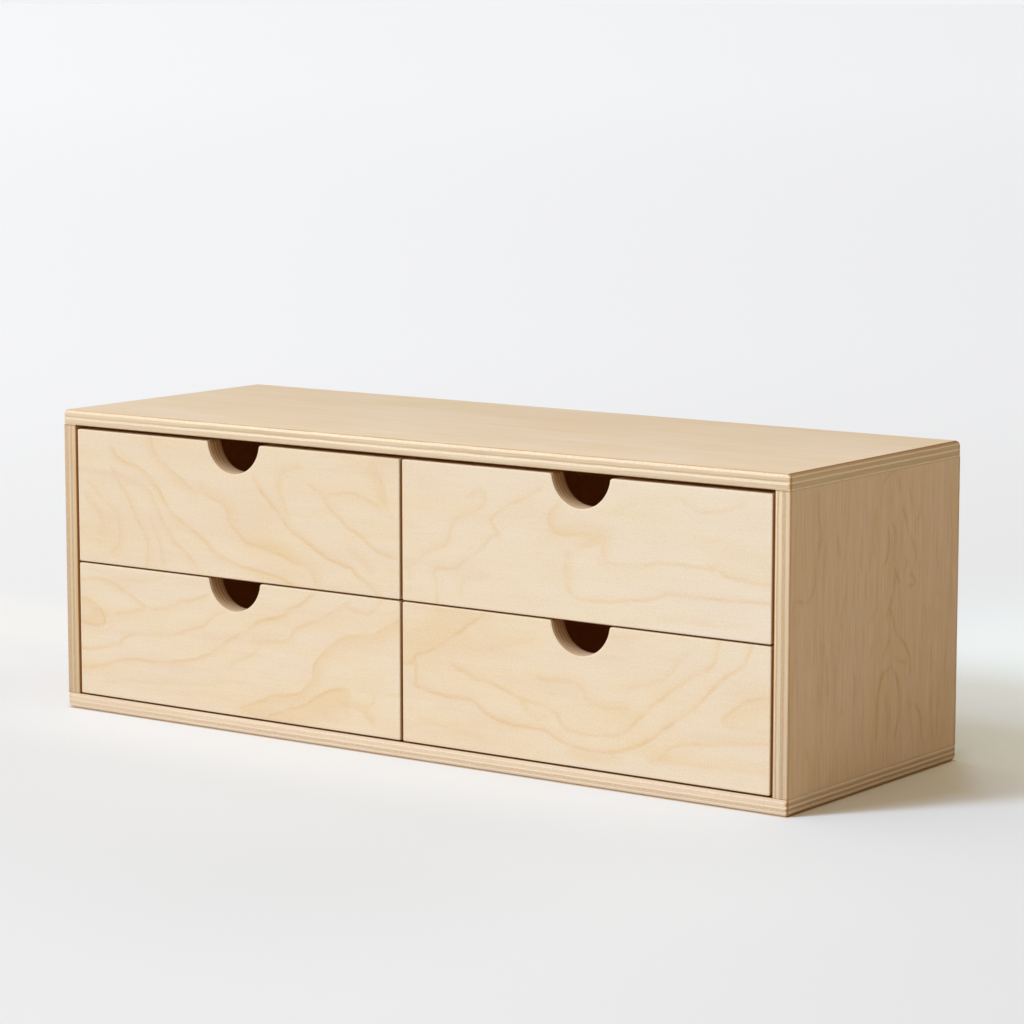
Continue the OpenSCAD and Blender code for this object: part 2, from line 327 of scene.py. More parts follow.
def plywood(name, look):
    made = bpy.data.materials.new(name)
    start = startTree(made)
    along, across, depth = start.attribute("grain")
    lineAway, lineStrength, lineShade = start.attribute("figure")
    spot = start.node("ShaderNodeTexCoord", output="Object").parts()
    sideways, forward, upward = [part * 1000 for part in spot]      # mm
    total = stacks[look["stack"]][-1][0]

    def pliesOf(stack):
        return start.node("ShaderNodeValToRGB", {"stops": rampStops(stacks[stack])}, {0: place})

    # the plies, with slightly wavy borders; the ends of the outer boards show other plies as light
    waves = start.vector(along * 0.05, across * 0.05, depth * 0.02).noise(4, 0.65)
    place = (depth + (waves - 0.5) * 0.9) / total
    plies = pliesOf(look["stack"])
    edgeDark, edgeLight = rgb(*look["edgeDark"]), rgb(*look["edgeLight"])
    if "endStack" in look:
        atEnd = sideways.size().ease(*fades["boardEnd"])
        plies = atEnd.blend(plies, pliesOf(look["endStack"]))
        edgeDark = atEnd.blend(edgeDark, rgb(*look["endDark"]))
        edgeLight = atEnd.blend(edgeLight, rgb(*look["endLight"]))
    if "leftStack" in look:
        plies = sideways.ease(1, -1).blend(plies, pliesOf(look["leftStack"]))
    tone, cross, glue = [start.node("ShaderNodeSeparateColor", None, {0: plies}, part) for part in range(3)]
    face = depth.atMost(total - depth).ease(0.34, 0.12)      # 1 on the two faces, 0 on the edges

    # fibres run along or across with the ply, always along on the faces
    cross = cross * (1 - face)
    longWay = start.vector(along * 0.012, across * 0.55, depth * 0.9)
    crossWay = start.vector(along * 0.55, across * 0.012, depth * 0.9)
    fibreWay = start.node("ShaderNodeMix", {"data_type": "VECTOR"}, {0: cross, 4: longWay, 5: crossWay}, 1)
    streaks = fibreWay.noise(4, 0.65)
    fineWay = start.node("ShaderNodeVectorMath", {"operation": "MULTIPLY"},
                         {0: fibreWay, 1: (3.6, 3.6, 3.6)})
    fine = fineWay.noise(2, 0.6)
    bands = start.vector(along * 0.004, across * 0.11, depth * 0.3).noise(3, 0.55)
    pores = start.vector(along * 0.16, across * 2.2, depth * 2.2).noise(1, 0.5).ease(0.66, 0.78) * face
    specks = start.vector(along * 0.9, across * 1.1, depth * 0.9).noise(1, 0.5)
    clouds = start.vector(along * 0.010, across * 0.028, depth * 0.02).noise(3, 0.5)
    patches = start.vector(along * 0.03, across * 0.07, depth * 0.05 + 7).noise(2, 0.5)

    # rings where the veneer was peeled through the year growth
    bend = start.vector(along * 0.0045, across * 0.016, depth * 0.05 + 3).noise(1.5, 0.45)
    turns = bend * look["rings"] + across * 0.012
    rings = turns.math("FRACT", turns)
    ringLine = (rings ** 5) * patches.ease(0.35, 0.6) * face * look["ringDepth"]

    # lines drawn on some faces: a thin core that comes and goes, and a wide soft tone beside it;
    # a bare number in place of the depth sets one noise apart from another
    jitter = start.vector(along * 0.13, across * 0.13, 5).noise(2, 0.5)
    fray = start.vector(along * 0.08, across * 1.0, 23).noise(2, 0.5)
    offset = lineAway + (jitter - 0.5) * 2.0 + (fray - 0.5) * look["fray"]
    core = offset.ease(-1.4, 0.1) * offset.ease(2.4, 0.2)
    broken = start.vector(along * 0.05, across * 0.10, 11).noise(2, 0.5).ease(0.30, 0.62)
    thin = core * lineStrength * (0.2 + 0.8 * broken) * (0.6 + 0.8 * fray) * face
    wisps = start.vector(along * 0.07, across * 0.20, 17).noise(3, 0.6)
    golden = start.vector(along * 0.016, across * 0.05, 31).noise(3, 0.55).ease(0.48, 0.75)
    soft = (lineShade * (0.35 + 2.0 * wisps) + golden * look["golden"]) * face

    # colour of the edges and of the faces
    vary = (streaks - 0.5) * look["streak"] + (fine - 0.5) * look["fine"]
    edgeTone = tone * 0.94 + 0.03 + (streaks - 0.5) * 1.1 + (fine - 0.5) * 0.7
    if "faded" in look:
        # the plies show less toward the left end
        edgeTone = edgeTone + (0.5 - edgeTone) * sideways.ease(-90, -230) * look["faded"]
    edge = edgeTone.blend(edgeDark, edgeLight)
    edge = (glue * 0.35).stain(edge, (0.75, 0.62, 0.50))
    skinTone = 0.6 + vary + (bands - 0.5) * look["band"] + (specks - 0.5) * look["speck"]
    wood = skinTone.blend(rgb(*look["dark"]), rgb(*look["light"]))
    wood = (clouds.ease(0.3, 0.7) * look["cloud"]).stain(wood, (0.985, 0.95, 0.89))
    hueAlong, hueAcross = look["hueSize"]
    hue = start.vector(along * hueAlong, across * hueAcross, depth * 0.2 + 41).noise(3, 0.6)
    wood = (hue.ease(0.45, 0.7) * look["hue"]).stain(wood, (1.0, 0.985, 0.91))
    wood = (hue.ease(0.55, 0.3) * look["hue"]).stain(wood, (0.985, 0.96, 0.965))
    wood = ringLine.stain(wood, look["line"])
    wood = thin.stain(wood, look["line"])
    wood = soft.stain(wood, look["soft"])
    wood = (pores * 0.35).stain(wood, (0.85, 0.74, 0.60))
    wood = face.blend(edge, wood)

    if "endStack" in look:
        # the glue line under the outer ply, cut open along the rounded edge
        veneer = depth.ease(0.08, 0.2) * depth.ease(0.62, 0.42) * (0.35 + 1.3 * wisps)
        wood = (veneer * look["veneer"]).stain(wood, (0.74, 0.62, 0.48))
    if "endBrown" in look:
        # the rounded edge at the ends is a little darker and browner
        endBrown = sideways.size().ease(247.7, 248.3) * depth.ease(2.0, 0.2) * depth.ease(0.02, 0.12)
        wood = (endBrown * look["endBrown"]).stain(wood, (0.56, 0.46, 0.34))
        # painted shade: the lower arris of the front edge is darkened where it lies over the gap above the
        # drawers
        lower = depth.ease(8.45, 8.75) * forward.ease(-86, -87.5)
        wood = (lower * sideways.size().ease(*fades["opening"])).stain(wood, (0.30, 0.19, 0.10))
    if "sillShade" in look:
        # painted shade: darker and browner along the front, in the gap under the drawers
        sillShade = upward.ease(8.8, 8.95) * forward.ease(-87.9, -87.5) * forward.ease(-80, -83.5)
        wood = (sillShade * sideways.size().ease(*fades["opening"])).stain(wood, look["sillShade"])
    if "corner" in look:
        # the upright arrises are darker and browner
        corner = sideways.size().ease(249.2, 249.75) * forward.size().ease(85.9, 86.7)
        wood = (corner * look["corner"]).stain(wood, (0.74, 0.60, 0.44))
    if "seam" in look:
        # a brown seam where the panel meets the boards above and below
        seam = (upward - 89).size().ease(79.2, 79.7) * (1 - face)
        wood = (seam * look["seam"]).stain(wood, (0.74, 0.58, 0.42))
        # painted shade: the inner side is darkened brown along the front edge, where it lies in the gap
        # beside the fronts, a little wider on the right panel
        inner = sideways.size().ease(241.6, 241.2)
        inner = inner.atLeast(sideways.ease(0, 1) * sideways.ease(241.7, 241.4))
        wood = (inner * forward.ease(*fades["openingFront"])).stain(wood, (0.56, 0.40, 0.22))
        # the edge of the left panel is a little darker and warmer, most of all its inner plies
        leftEdge = sideways.ease(*fades["leftPanel"]) * (1 - face)
        wood = leftEdge.stain(wood, (0.995, 0.99, 0.98))
        wood = (leftEdge * sideways.ease(-245, -242)).stain(wood, (1.0, 0.93, 0.82))
    if "rim" in look:
        # painted shade: the outline of the drawer front is darkened brown where it lies in the gaps, less on
        # its top edge
        straight, notch, _ = start.attribute("rim")
        gapShade = straight * depth.ease(0.45, 0.9) * (0.35 + 0.65 * depth.ease(5.0, 3.2))
        wood = gapShade.stain(wood, look["rim"])
        # painted shade on the wall of the notch, darkest at its top, and a thin painted shade line on its
        # front arris
        wood = (notch * depth.ease(0.2, 4.0)).stain(wood, look["notch"])
        wood = (notch.ease(0, 0.05) * depth.ease(1.3, 0.5) * (1 - face)).stain(wood, (0.84, 0.66, 0.46))
        # the good face is a little paler and cooler toward the right end of the case
        wood = (sideways.ease(30, 200) * face).stain(wood, (1.005, 1.03, 1.07))

    relief = fine * 0.5 + streaks * 0.4 - pores * 0.8 - thin * 0.3 - glue * 1.0 + tone * 0.8 * (1 - face)
    bump = start.node("ShaderNodeBump", None, {"Strength": 0.35, "Distance": 0.00012, "Height": relief})
    rough = 0.56 + (streaks - 0.5) * 0.16 + (1 - face) * 0.08
    finish = start.node("ShaderNodeBsdfPrincipled", None, {
        "Base Color": wood,
        "Roughness": rough,
        "Specular IOR Level": 0.13,
        "Normal": bump,
        # painted light: a faint warm glow that stands in for bounced light
        "Emission Color": rgb(1, 0.24, 0.03),
        "Emission Strength": look["glow"],
    })
    endTree(finish)
    return made


birch = {
    "dark": (0.655, 0.502, 0.338),
    "light": (0.87, 0.755, 0.60),
    "edgeDark": (0.60, 0.455, 0.295),
    "edgeLight": (0.885, 0.755, 0.585),
    "line": (0.955, 0.85, 0.715),       # stain of the drawn lines' cores, and of the rings
    "soft": (0.96, 0.88, 0.75),         # stain of the tone beside them
    "fray": 0.5,                        # mm that the lines fray by
    "golden": 0.25,                     # soft tone away from any line
    "streak": 0.22,                     # how much the tone varies along the fibres, from coarse to fine
    "fine": 0.18,
    "band": 0.15,
    "speck": 0.15,
    "cloud": 0.55,                      # slow change of tone
    "rings": 9,
    "ringDepth": 0.5,
    "hue": 0.4,                         # change to yellow and to pink
    "hueSize": (0.012, 0.06),           # how fast that changes along and across, per mm
    "glow": 0.0068,                     # painted glow: a trace of warm light standing in for the light that bounces on in the gaps and inside
}
boardBirch = {
    **birch,
    "edgeDark": (0.57, 0.425, 0.255), "edgeLight": (0.885, 0.75, 0.56), "line": (0.94, 0.86, 0.76),
    "streak": 0.40, "fine": 0.35, "band": 0.40, "cloud": 1, "ringDepth": 0.2,
    "corner": 1, "veneer": 0.7, "faded": 0.45,
}
looks = {
    "case": ("case birch", {
        **boardBirch, "stack": "case", "endStack": "caseEnd",
        "dark": (0.624, 0.492, 0.340), "light": (0.829, 0.740, 0.605),
        "endDark": (0.62, 0.44, 0.24), "endLight": (0.90, 0.71, 0.47), "endBrown": 1,
    }),
    "bottom": ("bottom birch", {
        **boardBirch, "stack": "bottom", "endStack": "bottomEnd",
        "edgeDark": (0.58, 0.415, 0.24), "edgeLight": (0.885, 0.735, 0.56),
        "endDark": (0.55, 0.375, 0.21), "endLight": (0.88, 0.70, 0.46),
        "veneer": 0.3, "sillShade": (0.50, 0.34, 0.18),
    }),
    "panel": ("panel birch", {
        **birch, "stack": "panel", "leftStack": "leftPanel",
        "dark": (0.645, 0.436, 0.244), "light": (0.879, 0.681, 0.452),
        "edgeDark": (0.54, 0.39, 0.23), "edgeLight": (0.79, 0.64, 0.455),
        "line": (0.88, 0.78, 0.68), "soft": (0.92, 0.84, 0.76),
        "streak": 0.62, "fine": 1.4, "band": 0.42, "speck": 0.3, "fray": 2.2,
        "hue": 1.4, "hueSize": (0.012, 0.3), "rings": 14, "ringDepth": 0.15, "corner": 0.5, "seam": 0.8,
    }),
    "front": ("front birch", {
        **birch, "stack": "front",
        "dark": (0.658, 0.513, 0.345), "light": (0.877, 0.774, 0.612),
        "edgeDark": (0.58, 0.42, 0.26), "edgeLight": (0.83, 0.68, 0.49),
        "line": (0.968, 0.893, 0.79), "soft": (0.976, 0.915, 0.81), "golden": 0.45,
        "streak": 0.17, "band": 0.11, "speck": 0.55, "fray": 0.9, "hue": 0.7,
        "ringDepth": 0.15, "glow": 0.009,
        # colours of the painted shade in the gaps around a front and on the wall of its notch
        "rim": (0.58, 0.415, 0.245), "notch": (0.62, 0.44, 0.27),
    }),
    "side": ("drawer birch", {**birch, "stack": "side"}),
    "thin": ("thin birch", {**birch, "stack": "thin"}),
}
finishes = {key: plywood(*facts) for key, facts in looks.items()}
print("plywood mixed")

# modelling helpers


def activate(piece):
    bpy.ops.object.select_all(action="DESELECT")
    piece.select_set(True)
    bpy.context.view_layer.objects.active = piece


def apply(piece, kind, **settings):
    activate(piece)
    change = piece.modifiers.new(kind.lower(), kind)
    for key, value in settings.items():
        setattr(change, key, value)
    bpy.ops.object.modifier_apply(modifier=change.name)


def settle(piece, name):
    # puts the place, turn and size into the mesh
    piece.name = name
    piece.data.name = name
    activate(piece)
    bpy.ops.object.transform_apply(location=True, rotation=True, scale=True)


def vertexTable(piece):
    table = np.empty(len(piece.data.vertices) * 3)
    piece.data.vertices.foreach_get("co", table)
    return table.reshape(-1, 3) / mm


def inMm(box):
    return [np.array(corner) / mm for corner in box]


def store(piece, name, table):
    # one vector for each vertex, which the material reads by this name
    stored = piece.data.attributes.new(name, "FLOAT_VECTOR", "POINT")
    stored.data.foreach_set("vector", table.ravel())


def block(low, high):
    low, high = Vector(low), Vector(high)
    bpy.ops.object.select_all(action="DESELECT")
    bpy.ops.mesh.primitive_cube_add(size=1, location=(low + high) / 2, scale=high - low)
    return bpy.context.object


def easeEdges(piece, radius, segments):
    # radius gives the rounding of an edge from its two ends, in mm
    places = vertexTable(piece)
    widths = [radius(places[edge.vertices[0]], places[edge.vertices[1]]) for edge in piece.data.edges]
    widest = max(widths)
    weights = piece.data.attributes.new("bevel_weight_edge", "FLOAT", "EDGE")
    weights.data.foreach_set("value", [width / widest for width in widths])
    apply(piece, "BEVEL", limit_method="WEIGHT", width=widest * mm, segments=segments,
          use_clamp_overlap=False, miter_outer="MITER_SHARP")


def house(piece, nodes):
    # cuts the housings of the boards that are let into this one
    low, high = (Vector(corner) for corner in bounds(piece))
    for node in nodes:
        cutLow, cutHigh = (Vector(corner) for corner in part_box(node))
        for axis in range(3):
            if abs(cutLow[axis] - low[axis]) < 0.1 * mm:
                cutLow[axis] -= mm
            if abs(cutHigh[axis] - high[axis]) < 0.1 * mm:
                cutHigh[axis] += mm
        cutter = block(cutLow, cutHigh)
        settle(cutter, "cutter")
        apply(piece, "BOOLEAN", operation="DIFFERENCE", object=cutter, solver="EXACT")
        bpy.data.objects.remove(cutter)


def bounds(piece):
    places = vertexTable(piece) * mm
    return places.min(axis=0), places.max(axis=0)


def layGrain(piece, along, face, shift):
    # grain coordinates in mm: along the grain, across it, and depth below the good face
    places = vertexTable(piece)
    first = "xyz".index(along)
    through = "xyz".index(face[1])
    second = 3 - first - through
    depth = places[:, through]
    depth = depth.max() - depth if face[0] == "+" else depth - depth.min()
    grain = [places[:, first] + shift, places[:, second] + 0.37 * shift, depth]
    store(piece, "grain", np.stack(grain, axis=1))


def smoothLine(points, step=0.6):
    # an even run of points on a smooth curve through the given ones, with how far along each is
    points = np.array(points, float)
    points = np.vstack([2 * points[0] - points[1], points, 2 * points[-1] - points[-2]])
    run = []
    for before, first, second, after in zip(points, points[1:], points[2:], points[3:]):
        count = max(2, int(np.linalg.norm(second - first) / step))
        t = (np.arange(count) / count)[:, None]
        run.append(0.5 * (2 * first + (second - before) * t
                          + (2 * before - 5 * first + 4 * second - after) * t ** 2
                          + (3 * first - before - 3 * second + after) * t ** 3))
    run = np.vstack(run + [points[-2][None]])
    steps = np.linalg.norm(np.diff(run, axis=0), axis=1)
    return run, np.concatenate([[0], np.cumsum(steps)])


def drawFigure(piece, lines, plane, origin, tint=0, taper=7, farOff=99.0, widest=12):
    # each line: strength, strength and width in mm of the tone on its left (minus: its right), points;
    # a line fades over the taper at its ends, and tint is a soft tone all over
    places = vertexTable(piece)
    flat = places[:, ["xyz".index(axis) for axis in plane]] - np.array(origin)
    nearest = np.full(len(flat), farOff)
    away = np.full(len(flat), farOff)
    strength = np.zeros(len(flat))
    shade = np.zeros(len(flat))
    for force, tone, width, points in lines:
        run, reach = smoothLine(points)
        ways = np.gradient(run, axis=0)
        ways /= np.linalg.norm(ways, axis=1)[:, None] + 1e-9
        gap = flat[:, None, :] - run[None]
        far = np.hypot(gap[..., 0], gap[..., 1])
        spot = far.argmin(axis=1)
        index = np.arange(len(flat))
        distance = far[index, spot]
        offset = gap[index, spot]
        way = ways[spot]
        left = np.sign(way[:, 0] * offset[:, 1] - way[:, 1] * offset[:, 0])
        left = left * (1 if width > 0 else -1)
        ends = np.minimum(reach[spot], reach[-1] - reach[spot])
        ends = np.clip(ends / taper, 0, 1)
        ends = ends * ends * (3 - 2 * ends)
        closer = distance < nearest
        nearest = np.where(closer, distance, nearest)
        away = np.where(closer, distance * left, away)
        strength = np.where(closer, force * ends, strength)
        side = 0.2 + 0.8 * np.clip((distance * left + 1) / 2.5, 0, 1)
        shade = np.maximum(shade, tone * ends * side * np.exp(-(distance / width) ** 2))
    strength = strength * np.clip((3.4 - nearest) / 1.6, 0, 1)      # a core is no wider than 3.4 mm to a side
    figure = [np.clip(away, -widest, widest), strength, shade + tint]
    store(piece, "figure", np.stack(figure, axis=1))


def gridFace(piece, axis, place, cuts):
    # cuts only the face that lies at the place on the axis, by planes in the other two directions
    activate(piece)
    bpy.ops.object.mode_set(mode="EDIT")
    bpy.ops.mesh.select_mode(type="FACE")
    bpy.ops.mesh.select_all(action="DESELECT")
    bpy.ops.object.mode_set(mode="OBJECT")
    number = "xyz".index(axis)
    for polygon in piece.data.polygons:
        near = abs(polygon.center[number] - place) < 0.01 * mm
        polygon.select = bool(near and abs(polygon.normal[number]) > 0.99)
    bpy.ops.object.mode_set(mode="EDIT")
    bpy.ops.mesh.hide(unselected=True)
    for direction, positions in cuts.items():
        normal = [float(direction == letter) for letter in "xyz"]
        for position in positions:
            bpy.ops.mesh.select_all(action="SELECT")
            bpy.ops.mesh.bisect(plane_co=[part * position * mm for part in normal], plane_no=normal)
    bpy.ops.mesh.reveal(select=False)
    bpy.ops.object.mode_set(mode="OBJECT")


def finishPiece(piece, finish, body, node, smoothBelow=30):
    activate(piece)
    bpy.ops.object.shade_smooth_by_angle(angle=math.radians(smoothBelow))
    piece.data.materials.clear()
    piece.data.materials.append(finishes[finish])
    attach(piece, body)
    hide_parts(node)


# boards of the case and of the drawer boxes

caseBody = "case"
outerBoards = {
    # along is the way of the grain, which shift moves by so many mm, and round is the side with rounded edges
    "top_board": {"finish": "case", "along": "x", "face": "+z", "round": "+z", "shift": 310,
                  "housed": ["back_panel"]},
    "bottom_board": {"finish": "bottom", "along": "x", "face": "+z", "round": "-z", "shift": 905,
                     "housed": ["back_panel"]},
}
rounding = {                            # mm
    "edge": 2.5,
    "corner": 1.0,
    "arris": 0.3,
    "edgeSteps": 6,
    "arrisSteps": 2,
}


def outerRadius(low, high, side):
    axis = "xyz".index(side[1])
    outside = high[axis] if side[0] == "+" else low[axis]

    def radius(first, second):
        if abs(first[axis] - second[axis]) > 0.1:
            return rounding["corner"]
        return rounding["edge"] if abs(first[axis] - outside) < 0.1 else rounding["arris"]

    return radius


for node, board in outerBoards.items():
    piece = block(*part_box(node))
    settle(piece, node + "_birch")
    low, high = inMm(bounds(piece))
    easeEdges(piece, outerRadius(low, high, board["round"]), rounding["edgeSteps"])
    house(piece, board["housed"])
    layGrain(piece, board["along"], board["face"], board["shift"])
    finishPiece(piece, board["finish"], caseBody, node)
print("outer boards made")

innerBoards = {
    # finish, way of the grain, good face, what is let in, shift of the grain in mm, material slot
    "left_side_panel": ("panel", "z", "-x", ["left_shelf", "back_panel"], 120, "case_birch"),
    "right_side_panel": ("panel", "z", "+x", ["right_shelf", "back_panel"], 2240, "case_birch"),
    "partition": ("panel", "z", "-x", ["left_shelf", "right_shelf"], 3330, "case_birch"),
    "left_shelf": ("thin", "x", "+z", [], 4410, "thin_birch"),
    "right_shelf": ("thin", "x", "+z", [], 5120, "thin_birch"),
    "back_panel": ("thin", "x", "+y", [], 6230, "thin_birch"),
}
drawerBodies = []
for row in ("bottom", "top"):
    for column in ("left", "right"):
        body = f"{row}_{column}_drawer"
        drawerBodies.append(body)
        shift = 700 * len(drawerBodies)
        base = body + "_base"
        back = body + "_back"
        innerBoards[body + "_outer_side"] = ("side", "y", "-x", [base, back], shift, "drawer_birch")
        innerBoards[body + "_inner_side"] = ("side", "y", "-x", [base, back], shift + 90, "drawer_birch")
        innerBoards[back] = ("side", "x", "+y", [base], shift + 210, "drawer_birch")
        innerBoards[base] = ("thin", "x", "+z", [], shift + 330, "thin_birch")

sideGrid = 1.6                          # mm between the points that carry the figure of the right panel
sideFigure = [
    # strength of each line of the tall arches, and its points in mm from the front and from the floor
    (0.42, [(26, 168), (27, 160), (28, 151), (29, 141), (32, 132)]),
    (0.3, [(34, 156), (34, 148), (33, 140)]),
    (0.3, [(37, 146), (35, 135), (34, 121), (34, 102)]),
    (0.51, [(47, 144), (47, 137), (49, 131), (46, 126)]),
    (0.38, [(54, 119), (55, 108), (51, 95), (54, 86)]),
    (0.42, [(73, 139), (71, 131), (70, 124), (73, 116)]),
    (0.34, [(78, 131), (80, 122), (76, 110), (78, 100)]),
    (0.42, [(86, 154), (85, 145), (83, 134), (87, 121)]),
    (0.42, [(93, 157), (94, 163), (98, 166), (103, 167), (109, 164), (111, 158), (113, 152)]),
    (0.77, [(96, 141), (99, 137), (100, 131), (99, 125), (96, 120), (93, 116)]),
    (0.85, [(101, 142), (105, 138), (106, 132), (105, 125), (105, 118), (108, 112), (114, 106)]),
    (0.68, [(105, 119), (106, 108), (104, 100), (99, 93), (98, 86)]),
    (0.59, [(113, 152), (114, 147), (118, 141), (120, 134), (125, 128), (129, 120), (126, 114)]),
    (0.38, [(118, 164), (123, 151), (127, 141)]),
    (0.42, [(134, 161), (134, 150), (131, 141), (127, 138), (130, 129)]),
    (0.51, [(115, 123), (119, 118), (118, 115), (114, 113)]),
    (0.68, [(119, 110), (124, 110), (128, 106), (124, 105), (118, 106)]),
    (0.59, [(99, 99), (102, 94), (105, 89), (107, 83), (111, 78)]),
    (0.42, [(91, 100), (88, 97), (83, 93), (80, 88)]),
    (0.59, [(143, 94), (144, 83), (143, 72)]),
    (0.42, [(138, 95), (139, 84), (138, 73)]),
    (0.42, [(149, 102), (153, 97), (156, 91)]),
    (0.42, [(165, 158), (166, 140), (168, 117), (166, 80)]),
    (0.34, [(153, 137), (151, 121), (153, 108)]),
    (0.42, [(87, 80), (83, 76), (82, 69)]),
    (0.51, [(102, 84), (101, 77), (95, 71), (94, 67)]),
    (0.68, [(104, 70), (110, 66), (118, 63), (122, 61)]),
    (0.85, [(108, 81), (113, 77), (119, 72), (123, 66), (124, 59), (123, 52)]),
    (0.77, [(89, 21), (90, 35), (91, 49), (94, 59), (99, 61), (102, 63), (105, 62),
            (109, 58), (113, 48), (114, 38), (110, 28), (108, 20)]),
    (0.42, [(98, 57), (101, 58), (104, 61)]),
    (0.42, [(101, 54), (99, 44), (101, 33), (100, 23)]),
    (0.59, [(124, 45), (125, 33), (127, 24), (126, 15)]),
    (0.68, [(128, 41), (136, 31), (138, 20), (140, 10)]),
    (0.51, [(149, 50), (147, 33), (151, 12)]),
    (0.42, [(157, 41), (154, 25), (157, 12)]),
    (0.42, [(164, 69), (162, 48), (164, 27)]),
    (0.34, [(30, 68), (29, 52)]),
    (0.42, [(52, 53), (54, 50), (49, 42)]),
    (0.34, [(15, 36), (19, 29), (23, 20)]),
    (0.42, [(75, 46), (73, 38), (75, 25), (78, 16)]),
    (0.42, [(146, 72), (147, 59), (145, 50)]),
    (0.34, [(64, 71), (66, 59), (64, 45)]),
    (0.34, [(38, 82), (37, 67), (39, 56)]),
    (0.77, [(1, 107), (8, 111), (16, 109), (22, 112), (26, 120), (27, 130), (30, 142),
            (31, 152)]),
    (0.42, [(31, 150), (33, 126), (34, 98), (32, 50)]),
]


def evenCuts(low, high, step):
    count = round((high - low) / step)
    return [low + (high - low) * number / count for number in range(1, count)]


def makeBoard(node, board):
    finish, along, face, housed, shift, slot = board
    piece = block(*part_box(node))
    settle(piece, node + "_birch")
    easeEdges(piece, lambda first, second: rounding["arris"], rounding["arrisSteps"])
    house(piece, housed)
    if node == "right_side_panel":
        low, high = inMm(bounds(piece))
        gridFace(piece, "x", high[0] * mm, {
            "y": evenCuts(low[1], high[1], sideGrid),
            "z": evenCuts(low[2], high[2], sideGrid),
        })
        # the stronger lines have more tone beside them, 2 mm wide
        lines = [(force, 0.3 if force > 0.5 else 0.2, 2, points) for force, points in sideFigure]
        drawFigure(piece, lines, "yz", (low[1], 0))
    layGrain(piece, along, face, shift)
    body = next((name for name in drawerBodies if node.startswith(name)), caseBody)
    finishPiece(piece, finish, body, node)


for node, board in innerBoards.items():
    makeBoard(node, board)
print("panels, shelves and drawer boxes made")

# drawer fronts

front = {
    "notchRadius": 19,
    "notchAbove": 1.5,                  # centre of the notch above the top edge
    "shoulder": 1.5,
    "arris": 0.5,
    "corner": 1.2,
    "notchSteps": 60,
    "shoulderSteps": 6,
    "arrisSteps": 3,
    "grid": 1.5,                        # mm between the points that carry the figure
    "topGapShade": 0.45,                  # how much painted shade darkens the top edge, where the rest has 1
    "wallFade": 0.93,                   # how much the painted shade of the notch wall falls off toward its bottom
    "tint": {
        "top_left_drawer_front": 0.14,
        "top_right_drawer_front": 0,
        "bottom_left_drawer_front": 0.08,
        "bottom_right_drawer_front": 0.25,
    },
}


def makeFront(node):
    low, high = inMm(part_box(node))
    middle = (low[0] + high[0]) / 2
    notchRound = front["notchRadius"]
    ease = front["shoulder"]
    rise = front["notchAbove"]
    reach = math.sqrt((notchRound + ease) ** 2 - (rise + ease) ** 2)
    tilt = math.asin((rise + ease) / (notchRound + ease))
    top = high[2]
    face = low[1]

    def at(x, z):
        return Vector((x, face, z)) * mm

    bpy.ops.object.select_all(action="DESELECT")
    bpy.ops.mesh.primitive_plane_add(size=1 * mm, location=at(middle - reach, top))
    piece = bpy.context.object
    settle(piece, "front_blank")
    bpy.ops.object.mode_set(mode="EDIT")
    bpy.ops.mesh.select_mode(type="VERT")
    bpy.ops.mesh.select_all(action="SELECT")
    bpy.ops.mesh.merge(type="CENTER")
    quarter = math.pi / 2 - tilt
    spins = [
        (at(middle - reach, top - ease), -quarter, front["shoulderSteps"]),
        (at(middle, top + rise), math.pi - 2 * tilt, front["notchSteps"]),
        (at(middle + reach, top - ease), -quarter, front["shoulderSteps"]),
    ]
    for centre, angle, steps in spins:
        bpy.ops.mesh.spin(steps=steps, angle=angle, center=centre, axis=(0, 1, 0))
    corner = at(middle + reach, top)
    for x, z in ((high[0], top), (high[0], low[2]), (low[0], low[2]), (low[0], top)):
        target = at(x, z)
        bpy.ops.mesh.extrude_region_move(TRANSFORM_OT_translate={"value": target - corner})
        corner = target
    bpy.ops.mesh.select_all(action="SELECT")
    bpy.ops.mesh.remove_doubles(threshold=0.01 * mm)
    bpy.ops.mesh.edge_face_add()
    bpy.ops.mesh.select_all(action="SELECT")
    bpy.ops.mesh.extrude_region_move(TRANSFORM_OT_translate={"value": (0, (high[1] - low[1]) * mm, 0)})
    bpy.ops.mesh.select_all(action="SELECT")
    bpy.ops.mesh.normals_make_consistent(inside=False)
    bpy.ops.object.mode_set(mode="OBJECT")

    def radius(first, second):
        if abs(first[1] - second[1]) < 0.1:
            return front["arris"]
        atSide = min(abs(first[0] - low[0]), abs(first[0] - high[0])) < 0.1
        return front["corner"] if atSide else 0

    easeEdges(piece, radius, front["arrisSteps"])
    return piece


def markRim(piece, low, high):
    # where painted shade falls: x is 1 on the straight sides of a front, y grows up the wall of the notch,
    # both are 0 on the faces
    places = vertexTable(piece)
    rim = np.zeros((len(places), 3))
    for axis in (0, 2):
        for side in (low[axis], high[axis]):
            rim[abs(places[:, axis] - side) < 0.02, 0] = front["topGapShade"] if side == high[2] else 1
    above = high[2] - places[:, 2]
    middle = (low[0] + high[0]) / 2
    reach = np.hypot(places[:, 0] - middle, above + front["notchAbove"])
    wall = (reach < front["notchRadius"] + 1.2) & (above > 0.02)      # also on the eased edges of the wall
    rim[wall, 1] = 1 - front["wallFade"] * np.clip(above[wall] / front["notchRadius"], 0, 1)
    store(piece, "rim", rim)


